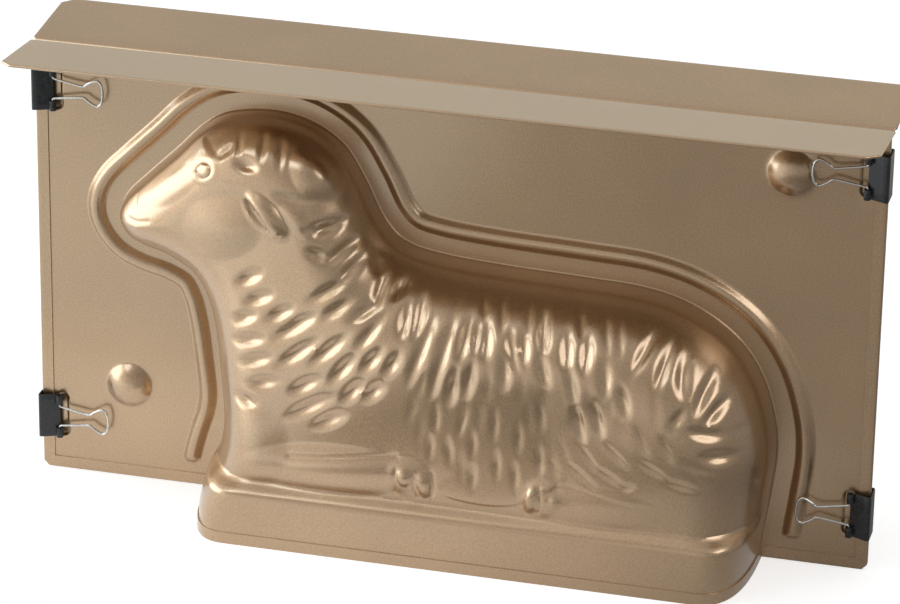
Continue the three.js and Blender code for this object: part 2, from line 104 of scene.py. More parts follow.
# Where the relief is how deep and how wide it rolls off: x, z, depth, roll
depthShares = [
    (0.03, 0.69, 0.25, 0.4), (0.084, 0.74, 0.42, 0.56), (0.164, 0.77, 0.62, 0.68),
    (0.232, 0.87, 0.63, 0.74), (0.324, 0.77, 0.76, 0.8), (0.184, 0.55, 0.74, 0.6),
    (0.2, 0.36, 0.92, 0.72), (0.344, 0.45, 1, 0.94), (0.584, 0.48, 0.98, 1),
    (0.82, 0.44, 0.98, 1), (0.92, 0.26, 0.98, 0.8), (0.2, 0.16, 0.92, 0.55),
    (0.5, 0.16, 0.93, 0.6), (0.9, 0.12, 0.96, 0.6),
]


def smooth(value, low, high):
    share = np.clip((value - low) / (high - low), 0, 1)
    return share * share * (3 - 2 * share)


def splineLine(points, steps):
    points = np.array(points, float)
    last = len(points) - 1
    line = []
    for index in range(last):
        before, start, end = points[max(index - 1, 0)], points[index], points[index + 1]
        after = points[min(index + 2, last)]
        share = np.linspace(0, 1, steps, endpoint=False)[:, None]
        leaving, arriving = (end - before) / 2, (after - start) / 2
        line.append((2 * start - 2 * end + leaving + arriving) * share ** 3
                    + (3 * end - 3 * start - 2 * leaving - arriving) * share ** 2
                    + leaving * share + start)
    line.append(points[-1:])
    return np.concatenate(line)


def evenly(line, count):
    runs = np.hypot(*np.diff(line, axis=0).T)
    along = np.concatenate([[0], np.cumsum(runs)])
    stops = np.linspace(0, along[-1], count + 1)
    return np.stack([np.interp(stops, along, line[:, axis]) for axis in range(2)], 1)


def arc(centre, radius, angles):
    return [(centre[0] + radius * math.cos(a), centre[1] + radius * math.sin(a)) for a in angles]


def lambPlace(xShare, zShare):
    return np.array([lambLeft + xShare * lamb["length"], zShare * lamb["height"]])


outline = evenly(splineLine([lambPlace(*shares) for shares in outlineShares], 60), 1200)


# Distance to a line of points, from which side, and how far along the line that is
def lineDistance(places, line):
    found = []
    for start in range(0, len(places), 4000):
        block = places[start:start + 4000]
        apart = ((block[:, None] - line[None]) ** 2).sum(2)
        close = apart.argmin(1)
        best = np.full(len(block), 1e9)
        hand = np.zeros(len(block))
        for step in (-1, 0):
            first = np.clip(close + step, 0, len(line) - 2)
            begin, run = line[first], line[first + 1] - line[first]
            along = ((block - begin) * run).sum(1) / np.maximum((run * run).sum(1), 1e-12)
            offset = block - begin - np.clip(along, 0, 1)[:, None] * run
            distance = np.hypot(*offset.T)
            nearer = distance < best
            best = np.where(nearer, distance, best)
            hand = np.where(nearer, run[:, 0] * offset[:, 1] - run[:, 1] * offset[:, 0], hand)
        found.append((best, hand, close / (len(line) - 1)))
    return [np.concatenate(parts) for parts in zip(*found)]


def inPolygon(places, corners):
    inside = np.zeros(len(places), bool)
    for (x, z), (nextX, nextZ) in zip(corners, corners[1:] + corners[:1]):
        crossed = (z > places[:, 1]) != (nextZ > places[:, 1])
        reach = x + (places[:, 1] - z) / ((nextZ - z) or 1e-9) * (nextX - x)
        inside ^= crossed & (reach > places[:, 0])
    return inside


# How far inside the lamb's outline each place lies, below 0 outside it
def insideDistance(places):
    places = np.asarray(places, float)
    nearest, _, _ = lineDistance(places, outline)
    return np.where(inPolygon(places, list(outline[::4])), nearest, -nearest)


def rollOff(distance, roll, squareness):
    left = 1 - np.clip(distance / roll, 0, 1)
    return (1 - left ** squareness) ** (1 / squareness)


def bodyAt(places):
    weights = depth = roll = 0
    for xShare, zShare, depthShare, rollShare in depthShares:
        apart = ((places - lambPlace(xShare, zShare)) ** 2).sum(1)
        weight = np.exp(-apart / lamb["depthBlend"] ** 2 / 2)
        weights = weights + weight
        depth = depth + weight * depthShare * lamb["bodyDepth"]
        roll = roll + weight * rollShare * lamb["bodyRoll"]
    return depth / weights, roll / weights


# Along and across an oblong form that is turned by some degrees
def turned(places, centre, turn):
    offset = places - np.array(centre)
    angle = math.radians(turn)
    along = offset[:, 0] * math.cos(angle) + offset[:, 1] * math.sin(angle)
    across = offset[:, 1] * math.cos(angle) - offset[:, 0] * math.sin(angle)
    return along, across


def mound(places, centre, halfLength, halfWidth, turn, rise, power=1.5):
    along, across = turned(places, centre, turn)
    outward = (along / halfLength) ** 2 + (across / halfWidth) ** 2
    return rise * np.maximum(1 - outward, 0) ** power


def groove(places, line, width, depth):
    apart, _, _ = lineDistance(places, splineLine(line, 12))
    return -depth * np.exp(-(apart / width) ** 2)


# A step along a line: its left-hand side stands proud and fades back over a distance
def lip(places, line, rise, edge, fade):
    apart, hand, share = lineDistance(places, splineLine(line, 12))
    signed = np.where(hand > 0, apart, -apart)
    taper = smooth(share, 0, 0.25) * smooth(1 - share, 0, 0.25)
    return rise * taper * smooth(signed, -edge, edge) * np.exp(-(np.maximum(signed, 0) / fade) ** 2)


# Broad forms of the lamb, pressed straight out with the body: x, z, half sizes, turn, rise
broadForms = {
    "ear": ((-62.5, 125), 12, 6.4, -40, 2.0),
    "cheek": ((-80, 118.2), 17, 12.5, 20, 2.2),
    "elbow": ((-68, 37), 21, 17, 62, 1.8),
    "foreleg": ((-34, 33), 38, 11, 5, 2.6),
    "frontHoof": ((-4.5, 34), 9, 9, 0, 1.3),
    "hindHoof": ((45.5, 32.5), 9, 8, 8, 1.1),
    "hindFoot": ((66, 31.5), 26, 9, 2, 1.2),
    "thigh": ((84, 51.3), 35, 27.5, 12, 2.6),
}


def lambRelief(places):
    distance = insideDistance(places)
    within = np.maximum(distance, 0)
    depth, roll = bodyAt(places)
    fillet = lamb["footFillet"]
    body = (depth - fillet) * rollOff(within, roll, lamb["bodySquareness"])
    for centre, halfLength, halfWidth, turn, rise in broadForms.values():
        form = mound(places, centre, halfLength, halfWidth, turn, rise)
        body = body + form * rollOff(within, roll / 2, lamb["bodySquareness"])
    base = (lamb["baseDepth"] - fillet) * rollOff(within, lamb["baseRoll"], lamb["baseSquareness"])
    above = smooth(places[:, 1], lamb["baseHeight"], lamb["baseHeight"] + lamb["ledgeRun"])
    risen = fillet + base + (np.minimum(body, base) - base) * above
    foot = np.clip(distance + fillet, 0, fillet)
    return np.where(distance > 0, risen, fillet - np.sqrt(fillet ** 2 - foot ** 2))


pressings = {
    "beadOffset": 11.0,          # from the lamb's outline to the middle of the bead
    "beadFoot": 3.7,
    "beadCrest": 0.5,
    "beadHeight": 2.6,
    "beadEnd": 12.0,             # the bead starts at this height above the rim
    "beadEndRun": 3.5,
    "domeRadius": 8.5,
    "domeHeight": 4.5,
    "domeInset": 35.0,
    "domeSoftness": 0.9,
    "lowerDome": 38.0,
    "upperDomeDrop": 20.5,
    "dimpleInset": 7.9,
    "dimpleLength": 19.4,
    "dimpleWidth": 6.0,
    "dimpleDepth": 0.75,
    "dimpleWall": 1.5,
}
clipHeights = {"lower": 22.3, "upper": plates["height"] - 18}
clipSides = {"left": -1, "right": 1}
domePlaces = [
    (pressings["domeInset"] - plateEdge, pressings["lowerDome"]),
    (plateEdge - pressings["domeInset"], plates["height"] - pressings["upperDomeDrop"]),
]
dimplePlaces = [
    (side * (plateEdge - pressings["dimpleInset"]), height)
    for side in clipSides.values() for height in clipHeights.values()
]


def plateRise(places, distance):
    apart = np.abs(-distance - pressings["beadOffset"])
    end = smooth(places[:, 1], pressings["beadEnd"] - pressings["beadEndRun"], pressings["beadEnd"])
    crest = 1 - smooth(apart, pressings["beadCrest"], pressings["beadFoot"])
    rise = pressings["beadHeight"] * crest * end
    radius, height, soft = (pressings[key] for key in ("domeRadius", "domeHeight", "domeSoftness"))
    ball = (radius ** 2 + height ** 2) / (2 * height)
    for centre in domePlaces:
        apart = np.hypot(*(places - centre).T)
        cap = np.sqrt(np.maximum(ball ** 2 - apart ** 2, 0)) - ball + height
        rise = rise + (cap + np.sqrt(cap ** 2 + soft ** 2)) / 2 * (apart < radius + 5)
    for centre in dimplePlaces:
        spine = (pressings["dimpleLength"] - pressings["dimpleWidth"]) / 2
        beyond = np.maximum(np.abs(places[:, 1] - centre[1]) - spine, 0)
        apart = np.hypot(places[:, 0] - centre[0], beyond)
        inward = pressings["dimpleWidth"] / 2 - apart
        rise = rise - pressings["dimpleDepth"] * smooth(inward, 0, pressings["dimpleWall"])
    return rise


# Locks of wool, each pressed in as a short hollow: x, z, slope in degrees, length
wool = {
    "full": (1.75, 3.2),         # depth and half width
    "slight": (0.75, 2.2),
    "fill": (0.3, 2.6),
    "endRun": 3.8,               # a hollow runs on this far past its bright streak
    "shift": 1.3,                # and its middle lies this far to the streak's upper left
    "softness": 1.12,            # it ends at this share of its half width
    "outlineFade": (1.5, 6),     # no wool nearer to the lamb's outline than the first
    "tuftFullness": 1.4,
    "fillSpacing": 8.5,
    "fillRows": 1.3,             # rows of fainter locks lie this much further apart
    "fillFoot": 30,
    "fillScatter": (1, 1.5),
    "fillClear": 0.72,           # share of the spacing kept free round a drawn lock
    "fillLength": 10,
    "seed": 7,
}
neckLocks = [
    (-68, 100, 31, 7), (-64, 93, 26, 8), (-55, 89, 32, 8), (-69, 85, 26, 5), (-67, 77, 15, 8),
    (-64, 70, 21, 9), (-61, 62, 16, 8), (-68, 54, -11, 4), (-47, 87, 32, 12), (-37, 100, 34, 13),
    (-33, 94, 37, 10), (-23, 94, 34, 8), (-18, 101, 84, 7), (-11, 102, 51, 6), (-49, 85, 35, 16),
    (-47, 76, 39, 17), (-35, 79, 44, 16), (-20, 87, 54, 11), (-29, 73, 52, 12), (-18, 78, 53, 9),
    (-10, 78, 61, 7), (-44, 64, 34, 10), (-25, 65, 50, 8), (-17, 66, 46, 6), (-42, 56, 32, 17),
    (-34, 52, 31, 10), (-43, 112, -23, 4), (-41, 122, 11, 9), (-34, 113, 38, 8), (-30, 107, 45, 6),
    (-23, 109, -58, 7),
]
flankLocks = [
    (-7, 93, 86, 5), (-2, 94, 91, 8), (0, 83, 74, 20), (8, 81, 78, 26), (16, 89, 82, 10),
    (13, 73, 82, 11), (19, 76, 81, 11), (20, 91, 95, 5), (24, 90, 100, 8), (32, 81, 92, 9),
    (34, 88, 112, 9), (38, 89, 104, 6), (44, 94, 105, 8), (46, 83, 108, 7), (54, 89, 102, 8),
    (57, 78, 103, 13), (61, 89, 95, 7), (60, 66, 105, 12),
]
rumpLocks = [
    (69, 82, 97, 8), (76, 76, 109, 7), (67, 68, 105, 10), (81, 90, 64, 9), (89, 86, 79, 10),
    (96, 84, 103, 8), (104, 78, 75, 9), (108, 71, 51, 6), (104, 64, -17, 9), (96, 70, 60, 4),
    (109, 55, -11, 6),
]
slightLocks = [
    (-79, 145, 40, 3), (-74, 149, 95, 5), (-65, 150, 95, 5), (-58, 148, 100, 6),
    (17, 60, 79, 11), (21, 51, 89, 9), (29, 60, 89, 10), (38, 56, 89, 9), (7, 60, 89, 9),
    (12, 47, 95, 8), (30, 44, 92, 8), (5, 48, 88, 8), (46, 66, 96, 9), (46, 48, 92, 8),
    (21, 38, 90, 7), (37, 40, 92, 7), (64, 53, 129, 11), (74, 56, 140, 10), (61, 46, 143, 11),
    (72, 47, 150, 9), (84, 62, 120, 8), (88, 52, 150, 9), (98, 47, 165, 9), (93, 60, 120, 7),
    (21, 98, 109, 5), (28, 97, 107, 5), (38, 96, 102, 5), (57, 97, 116, 5), (67, 95, 111, 5),
    (72, 94, 109, 5),
]
headLocks = [(-71.4, 141.5, -8, 4)]
fillEdge = [
    (-4, 102), (-4, 48), (6, 36), (20, 33), (38, 35), (56, 45), (84, 42),
    (108, 44), (118, 60), (115, 78), (98, 94), (60, 100), (10, 103),
]


# Fainter locks close the gaps between the drawn ones and follow their slope
def fillLocks(drawn):
    rng = np.random.default_rng(wool["seed"])
    step = wool["fillSpacing"]
    spots = []
    aside, upward = wool["fillScatter"]
    for row, z in enumerate(np.arange(wool["fillFoot"], lamb["height"], step * wool["fillRows"])):
        for x in np.arange(lambLeft, lambLeft + lamb["length"], step):
            spots.append((x + (row % 2) * step / 2 + rng.uniform(-aside, aside),
                          z + rng.uniform(-upward, upward)))
    spots = np.array(spots)
    spots = spots[inPolygon(spots, fillEdge)]
    centres = np.array([lock[:2] for lock in drawn])
    slopes = np.radians([lock[2] for lock in drawn])
    locks = []
    for spot in spots:
        apart = np.hypot(*(centres - spot).T)
        if apart.min() < step * wool["fillClear"]:
            continue
        weight = 1 / (apart + 3) ** 3
        rising, running = (weight * np.sin(2 * slopes)).sum(), (weight * np.cos(2 * slopes)).sum()
        slope = math.degrees(math.atan2(rising, running)) / 2
        locks.append((spot[0], spot[1], slope, wool["fillLength"], *wool["fill"]))
    return locks


# Tufts and hollows behind the ear: x, z, half length, half width, slope, rise
tufts = [
    (-45.5, 141.5, 12, 7.5, -41, 2.8), (-50.5, 125, 9.5, 3.6, -42, 1.0),
    (-52.5, 132.5, 9, 3.8, -14, -1.2), (-40.5, 121.5, 6.2, 3.1, 22, -1.4),
]
drawnLocks = headLocks + neckLocks + flankLocks + rumpLocks
locks = [(*lock, *wool["full"]) for lock in drawnLocks]
locks += [(*lock, *wool["slight"]) for lock in slightLocks]
locks += fillLocks(drawnLocks + slightLocks)


def woolRise(places, distance):
    sunk = np.zeros(len(places))
    for x, z, slope, length, depth, halfWidth in locks:
        near = np.flatnonzero(np.hypot(places[:, 0] - x, places[:, 1] - z) < length + 9)
        if not len(near):
            continue
        along, across = turned(places[near], (x, z), slope)
        half = length / 2 + wool["endRun"]
        across = across - wool["shift"]
        apart = (along / half) ** 2 + (across / halfWidth) ** 2
        sunk[near] = np.maximum(sunk[near], depth * (1 - smooth(np.sqrt(apart), 0, wool["softness"])))
    rise = sum(mound(places, tuft[:2], *tuft[2:], wool["tuftFullness"]) for tuft in tufts) - sunk
    return rise * smooth(distance, *wool["outlineFade"])


# The face and legs, drawn on the pressed body: all rise or sink square to its surface
eye = {
    "centre": (-88, 138),
    "halfLength": 3.0,
    "halfWidth": 2.3,
    "turn": 22,
    "ball": 0.45,
    "sink": 0.17,                # the drawn line round the eye, and its width as a share of the eye
    "line": 0.22,
    "lid": 0.2,
    "lidReach": 1.65,
    "lidWidth": 0.5,
}
# Small forms: x, z, half sizes, turn, rise and, where it isn't 1.5, how full they are
faceForms = {
    "noseBridge": ((-101, 129), 15, 5, 38, 0.6),
    "earRim": ((-62.5, 127), 11, 4.6, -43, 1.5, 1.2),
    "earHollow": ((-66, 125.8), 7.4, 2.4, -47, -1.7, 0.8),
    "earTip": ((-58.2, 119.6), 2.2, 2, 0, 0.6),
}
legForms = {
    "frontClaw": ((1.4, 32), 2.5, 5.6, 8, 1.5, 1),
    "frontHeel": ((-5.8, 34.6), 2.6, 3.6, 0, 1.1, 1.1),
    "hindClaw": ((42, 32), 2.3, 5.6, -14, 1.7, 1),
    "hindHeel": ((50.6, 32.2), 1.9, 3, -10, 0.7),
    "hockDent": ((78.3, 42.7), 3.4, 2.2, 10, -0.6),
}
capEdge = [(-98.6, 160), (-95.4, 153.6), (-92, 149), (-88.4, 146), (-84.4, 143.8), (-80, 143)]
creases = {                      # line, width, depth
    "tearCorner": ([(-90.4, 136.9), (-92.6, 135.9)], 0.45, 0.2),
    "nostril": ([(-117.4, 119.6), (-116.7, 117.8)], 0.8, 0.35),
    "mouth": ([(-119, 113), (-115, 113), (-110.5, 114.2)], 0.8, 0.22),
    "earSlit": ([(-71, 130.8), (-67.6, 127.8), (-64, 124), (-61.6, 121)], 0.7, 0.45),
    "forelegTop": ([(-50, 36.6), (-38, 38.2), (-24, 40.2), (-9, 42.2)], 0.9, 0.5),
    "hoofBack": ([(-9, 37), (-9.6, 31), (-9.4, 27.5)], 0.8, 0.4),
    "clawBack": ([(-2, 36.5), (-2.4, 30), (-1.6, 26.6)], 0.6, 0.4),
    "clawFront": ([(4.6, 37), (5.2, 31), (4.2, 27)], 0.7, 0.35),
    "hindHoofBack": ([(45.2, 37), (45.8, 30), (44.6, 27)], 0.7, 0.3),
}
bellyEdge = [(4.5, 32), (7.5, 29.2), (16.6, 27.4), (27.2, 27.2), (36, 29), (42, 33),
             (53.4, 39.6), (56, 42.5)]
hockEdge = [(54, 39.9), (64, 38.6), (76.5, 36.4), (92, 35)]
haunchEdge = [(52, 37), (51.5, 48), (50.5, 60), (51, 72), (55, 84)]
steppedEdges = {                 # line, rise, softness, how far it fades
    "cap": (capEdge, -0.7, 1.5, 22),
    "belly": (bellyEdge, 0.45, 1.0, 8),
    "hock": (hockEdge, 0.4, 1.1, 8),
    "haunch": (haunchEdge, -0.9, 5, 16),
}


def eyeRise(places):
    along, across = turned(places, eye["centre"], eye["turn"])
    apart = np.hypot(along / eye["halfLength"], across / eye["halfWidth"])
    rise = eye["ball"] * np.sqrt(np.maximum(1 - apart ** 2, 0))
    rise = rise - eye["sink"] * np.exp(-((apart - 1) / eye["line"]) ** 2)
    return rise + eye["lid"] * np.exp(-((apart - eye["lidReach"]) / eye["lidWidth"]) ** 2)


def drawnRise(places):
    forms = [*faceForms.values(), *legForms.values()]
    rise = eyeRise(places) + sum(mound(places, *form) for form in forms)
    rise = rise + sum(lip(places, *edge) for edge in steppedEdges.values())
    return rise + sum(groove(places, *crease) for crease in creases.values())


# Where the pressed sheet has its points
mesh = {
    "outlineLength": 660,        # about, along the lamb's outline
    "outlineSpacing": 0.8,
    "lambSpacing": 1.05,
    "faceSpacing": 0.62,
    "plateSpacing": 6.0,
    "hemSpacing": 4.0,
    "ringDepths": (-1.6, -1, -0.9, -0.72, -0.5, -0.28, -0.1, 0, 0.012, 0.045, 0.1, 0.18, 0.28,
                   0.42, 0.6, 0.84, 1.14, 1.5, 1.95, 2.5, 3.15, 3.9, 4.8, 5.8),
    "beadSteps": (-5, -4, -3.5, -3, -2.5, -2, -1.5, -1, -0.5, 0, 0.5, 1, 1.5, 2, 2.5, 3, 3.5, 4, 5),
    "creaseSteps": (-1, -0.6, -0.32, -0.1, 0.1, 0.32, 0.6, 1),
    "edgeSteps": (0, 0.02, 0.07, 0.16, 0.29, 0.5, 1.8, 3.2, 4.5, 4.7),
    "domeRings": (0.7, 1.6, 2.6, 3.6, 4.6, 5.5, 6.3, 7, 7.6, 8.1, 8.5, 8.9, 9.4, 10.2, 11.4),
    "dimpleRings": (0.9, 1.4, 1.7, 2, 2.3, 2.6, 2.9, 3.1),
    "eyeRings": (0.4, 0.7, 0.85, 0.95, 1.05, 1.15, 1.35, 1.7, 2.1),
    "ringSpacing": 0.8,
    "creaseSpacing": 0.7,
    "gaps": {"crease": 0.22, "eye": 0.15, "face": 0.3, "lamb": 0.6, "plate": 2.5},
}
quickShare = 1


class PlaceList:
    def __init__(self):
        self.places, self.edges = [], []

    def line(self, points, joined=False):
        first = len(self.places)
        self.places += [tuple(point) for point in points]
        if joined:
            self.edges += [(index, index + 1) for index in range(first, len(self.places) - 1)]

    def fill(self, points, apart):
        tree = KDTree(len(self.places))
        for index, place in enumerate(self.places):
            tree.insert((*place, 0), index)
        tree.balance()
        self.line([point for point in points.tolist() if tree.find((*point, 0))[2] > apart])


def outlineAcross(height, side):
    ends = outline if side < 0 else outline[::-1]
    index = max(1, int(np.argmax(ends[:, 1] > height)))
    share = (height - ends[index - 1, 1]) / (ends[index, 1] - ends[index - 1, 1])
    return ends[index - 1, 0] + share * (ends[index, 0] - ends[index - 1, 0])


def edgeRows(found):
    steps = mesh["edgeSteps"]
    heights = np.linspace(steps[-1], sheetTop, round((sheetTop - steps[-1]) / mesh["hemSpacing"]) + 1)
    for side in (-1, 1):
        for step in steps:
            found.line([(side * (plateEdge - step), height) for height in heights], step > 4)
    for height in steps:
        left, right = outlineAcross(height, -1), outlineAcross(height, 1)
        xs = [side * (plateEdge - step) for side in (-1, 1) for step in steps]
        for end, side in ((left, -1), (right, 1)):
            xs += [end - side * depth for depth in mesh["ringDepths"]]
            inner, outer = plateEdge - steps[-1], abs(end) - mesh["ringDepths"][0]
            xs += [side * x for x in np.arange(outer + 2, inner - 1, mesh["hemSpacing"])]
        reach = mesh["ringDepths"][-1]
        xs += list(np.linspace(left + reach, right - reach, 150)[1:-1])
        xs = sorted(x for x in set(xs) if plateEdge - abs(x) + height > plates["cornerCut"] + 0.05)
        found.line([(x, height) for x in xs], height > 4)
    for side in (-1, 1):         # the cut-off lower corners
        for step in steps[:6]:
            for share in np.linspace(0, 1, 9):
                x = plateEdge - share * plates["cornerCut"] - step * 0.7
                found.line([(side * x, (1 - share) * plates["cornerCut"] + step * 0.7)])
    step = mesh["hemSpacing"]
    found.line([(x, sheetTop) for x in np.arange(-hemLine + 1, hemLine, step)], True)


# Square to a line of points, to its left
def leftward(stations):
    run = np.gradient(stations, axis=0)
    return np.stack([-run[:, 1], run[:, 0]], 1) / np.hypot(*run.T)[:, None]


def ringLines(found):
    stations = evenly(outline, round(mesh["outlineLength"] / mesh["outlineSpacing"] / quickShare))
    inward = -leftward(stations)
    beads = [-pressings["beadOffset"] - step for step in mesh["beadSteps"]]
    fixed = np.array(found.places)
    for depth in (*beads, *mesh["ringDepths"]):
        spots = stations + inward * depth
        lowest = mesh["edgeSteps"][-1] + 0.6
        real = np.abs(insideDistance(spots) - depth) < 0.12
        spots = spots[real & (spots[:, 1] > lowest) & (spots[:, 1] < sheetTop - 1)]
        kept = [spots[0]]
        for spot in spots[1:]:
            if math.hypot(*(spot - kept[-1])) > mesh["outlineSpacing"] * 0.45:
                kept.append(spot)
        found.line([spot for spot in kept if np.hypot(*(fixed - spot).T).min() > 0.35])


def roundLines(found):
    for centre in domePlaces:
        for radius in mesh["domeRings"]:
            count = max(8, round(2 * math.pi * radius / mesh["ringSpacing"]))
            found.line(arc(centre, radius, (np.arange(count) + 0.5) / count * 2 * math.pi))
    spine = (pressings["dimpleLength"] - pressings["dimpleWidth"]) / 2
    for centre in dimplePlaces:
        for radius in mesh["dimpleRings"]:
            half = arc((0, spine), radius, math.pi * np.linspace(0, 1, 13))
            half += [(-radius, z) for z in np.arange(spine - 1.2, -spine + 0.6, -1.3)]
            for x, z in half + [(-x, -z) for x, z in half]:
                if plateEdge - abs(centre[0] + x) > mesh["edgeSteps"][-1] + 0.05:
                    found.line([(centre[0] + x, centre[1] + z)])


# Close rows of points along the drawn lines, so that they stay crisp
def creaseLines(found):
    lines = [line for line, _, _ in creases.values()] + [capEdge, bellyEdge, hockEdge]
    for index, line in enumerate(lines):
        long = splineLine(line, 12)
        length = np.hypot(*np.diff(long, axis=0).T).sum()
        stations = evenly(long, max(3, round(length / mesh["creaseSpacing"] / quickShare)))
        across = leftward(stations)
        reach = 1.6 if index < len(creases) else 1.3
        spots = np.concatenate([stations + across * step * reach for step in mesh["creaseSteps"]])
        spots = spots[insideDistance(spots) > 6]
        found.fill(spots, mesh["gaps"]["crease"])
    around = np.arange(44) / 44 * 2 * math.pi
    angle = math.radians(eye["turn"])
    for share in mesh["eyeRings"]:
        along = eye["halfLength"] * share * np.cos(around)
        across = eye["halfWidth"] * share * np.sin(around)
        spots = np.stack([along * math.cos(angle) - across * math.sin(angle),
                          along * math.sin(angle) + across * math.cos(angle)], 1) + eye["centre"]
        found.fill(spots, mesh["gaps"]["eye"])


def hexGrid(low, high, spacing):
    xs, zs = np.arange(low[0], high[0], spacing), np.arange(low[1], high[1], spacing * 0.866)
    grid = [(x + (row % 2) * spacing / 2, z) for row, z in enumerate(zs) for x in xs]
    return np.array(grid)


# Even rows fill the face closely, then the rest of the lamb, then the plate
def innerPlaces(found):
    outside, inside = mesh["ringDepths"][0], mesh["ringDepths"][-1] * 0.9
    faceGrid = hexGrid((-126, 106), (-50, 158), mesh["faceSpacing"] * quickShare)
    bodyGrid = hexGrid((-128, 4.7), (127, 157), mesh["lambSpacing"] * quickShare)
    plateGrid = hexGrid((-153, 7), (153, 170), mesh["plateSpacing"])
    found.fill(faceGrid[insideDistance(faceGrid) > inside], mesh["gaps"]["face"])
    found.fill(bodyGrid[insideDistance(bodyGrid) > inside], mesh["gaps"]["lamb"])
    found.fill(plateGrid[insideDistance(plateGrid) < outside], mesh["gaps"]["plate"])


def sheetPlaces():
    found = PlaceList()
    edgeRows(found)
    ringLines(found)
    roundLines(found)
    creaseLines(found)
    innerPlaces(found)
    points = [Vector(place) for place in found.places]
    verts, _, faces, *_ = delaunay_2d_cdt(points, found.edges, [], 0, 1e-4)
    places = np.array([tuple(vert) for vert in verts])
    triangles = np.array([face for face in faces if len(face) == 3])
    print(f"sheet: {len(places)} places, {len(triangles)} triangles")
    return places, triangles


# Square to the sheet at each place; along the edges they keep to the folds' own planes
def sheetNormals(points, places, triangles, side):
    a, b, c = (points[triangles[:, corner]] for corner in range(3))
    facing = np.cross(b - a, c - a) * -side
    normals = np.zeros_like(points)
    for corner in range(3):
        np.add.at(normals, triangles[:, corner], facing)
    normals[places[:, 1] <= 1e-3, 2] = 0
    normals[np.abs(places[:, 0]) >= plateEdge - 1e-3, 0] = 0
    normals[places[:, 1] >= sheetTop - 1e-3] = (0, side, 0)
    return normals / np.linalg.norm(normals, axis=1)[:, None]


def edgeDistance(places):
    x, z = places.T
    aside = plateEdge - np.abs(x)
    cut = (aside + z - plates["cornerCut"]) / math.sqrt(2)
    return np.maximum(np.minimum(np.minimum(aside, z), cut), 0)


# Thickness and the round of the folded edges: how far the two faces lie along the normal
def faceOffsets(thickness, edge):
    half = thickness / 2
    bulge = half * np.sqrt(1 - (1 - np.clip(edge / half, 0, 1)) ** 2)
    return half - bulge, half + bulge


def plateFaces(places, triangles, side, relief, rise, details):
    x, z = places.T
    inner = np.stack([x, side * (plates["partingGap"] / 2 + relief) - rise, z], 1)
    inner = inner + sheetNormals(inner, places, triangles, side) * details[:, None]
    normals = sheetNormals(inner, places, triangles, side)
    hemmed = (np.abs(x) >= hemLine - 1e-3) | (z <= plates["hemWidth"] + 1e-3)
    thickness = np.where(hemmed, 2, 1) * plates["sheet"]
    aside = plateEdge - np.abs(x)
    mitre = np.exp(-((aside - z) / plates["mitreWidth"]) ** 2) * (aside < plates["hemWidth"])
    edge = edgeDistance(places)
    low, high = faceOffsets(thickness, edge)
    across = np.clip(edge / plates["hemWidth"], 0, 1)
    high = high + (plates["hemSwell"] * (1 - across) ** 1.5 - plates["mitreDepth"] * mitre) * hemmed
    lowFace, highFace = inner + normals * low[:, None], inner + normals * high[:, None]
    for face in (lowFace, highFace):
        face[:, 2] = np.maximum(face[:, 2], 0)
        face[:, 1] = np.clip(face[:, 1], -plates["deepest"], plates["deepest"])
    return lowFace, highFace


# The flange: rows up the bend, then out to its folded free edge
def flangeFaces(places, side):
    columns = np.flatnonzero(places[:, 1] >= sheetTop - 1e-3)
    columns = columns[np.argsort(places[columns, 0])]
    xs = places[columns, 0]
    bendEnd = math.pi / 2 - plates["flangeRise"]
    bendSteps = 10
    sections = [(bendEnd * step / bendSteps, 0, step / bendSteps) for step in range(1, bendSteps)]
    hemStart = plates["flangeLength"] - plates["hemWidth"]
    runs = [0, 8, 16, 24, hemStart - plates["hemStep"], hemStart]
    sections += [(bendEnd, run, 1) for run in runs]
    shares = [1 - step / plates["hemWidth"] for step in mesh["edgeSteps"][-3:0:-1]] + [1]
    sections += [(bendEnd, hemStart, 1 + share) for share in shares]
    lows, highs = [], []
    for angle, run, spread in sections:
        beyond = max(spread - 1, 0)
        wide = xs * (1 + min(spread, 1) * plates["flangeOverhang"] / plateEdge)
        aside = wide.max() - np.abs(wide)
        cut = np.maximum(plates["flangeChamfer"] - aside, 0) * plates["chamferSlope"]
        reach = plates["flangeLength"] - cut
        along = run + beyond * (reach - hemStart)
        hemmed = (np.abs(xs) >= hemLine - 1e-3) | (along >= hemStart - 1e-3)
        thickness = np.where(hemmed, 2, 1) * plates["sheet"]
        low, high = faceOffsets(thickness, np.minimum(aside, reach - along))
        radius = plates["bendRadius"] + plates["sheet"]
        centre = plates["partingGap"] / 2 + radius
        for faces, offset in ((lows, low), (highs, high)):
            y = centre - (radius - offset) * math.cos(angle) + along * math.cos(plates["flangeRise"])
            z = sheetTop + (radius - offset) * math.sin(angle) + along * math.sin(plates["flangeRise"])
            faces.append(np.stack([wide, side * y, z], 1))
    return columns, np.array(lows), np.array(highs)


def closedSheet(name, lows, highs, triangles, side):
    count = len(lows)
    rim = {}                     # edges that only one triangle has
    corners = triangles.tolist()
    for a, b, c in corners:
        for start, end in ((a, b), (b, c), (c, a)):
            if (end, start) in rim:
                del rim[(end, start)]
            else:
                rim[(start, end)] = True
    faces = corners + [(c + count, b + count, a + count) for a, b, c in corners]
    faces += [(end, start, start + count, end + count) for start, end in rim]
    if side < 0:
        faces = [face[::-1] for face in faces]
    piece = meshPiece(name, np.concatenate([highs, lows]), faces)
    piece.data.validate()
    piece.modifiers.new("weld", "WELD").merge_threshold = 1e-7
    return shaded(applied(piece), 38)


def inScene(name, data):
    piece = bpy.data.objects.new(name, data)
    bpy.context.scene.collection.objects.link(piece)
    return piece


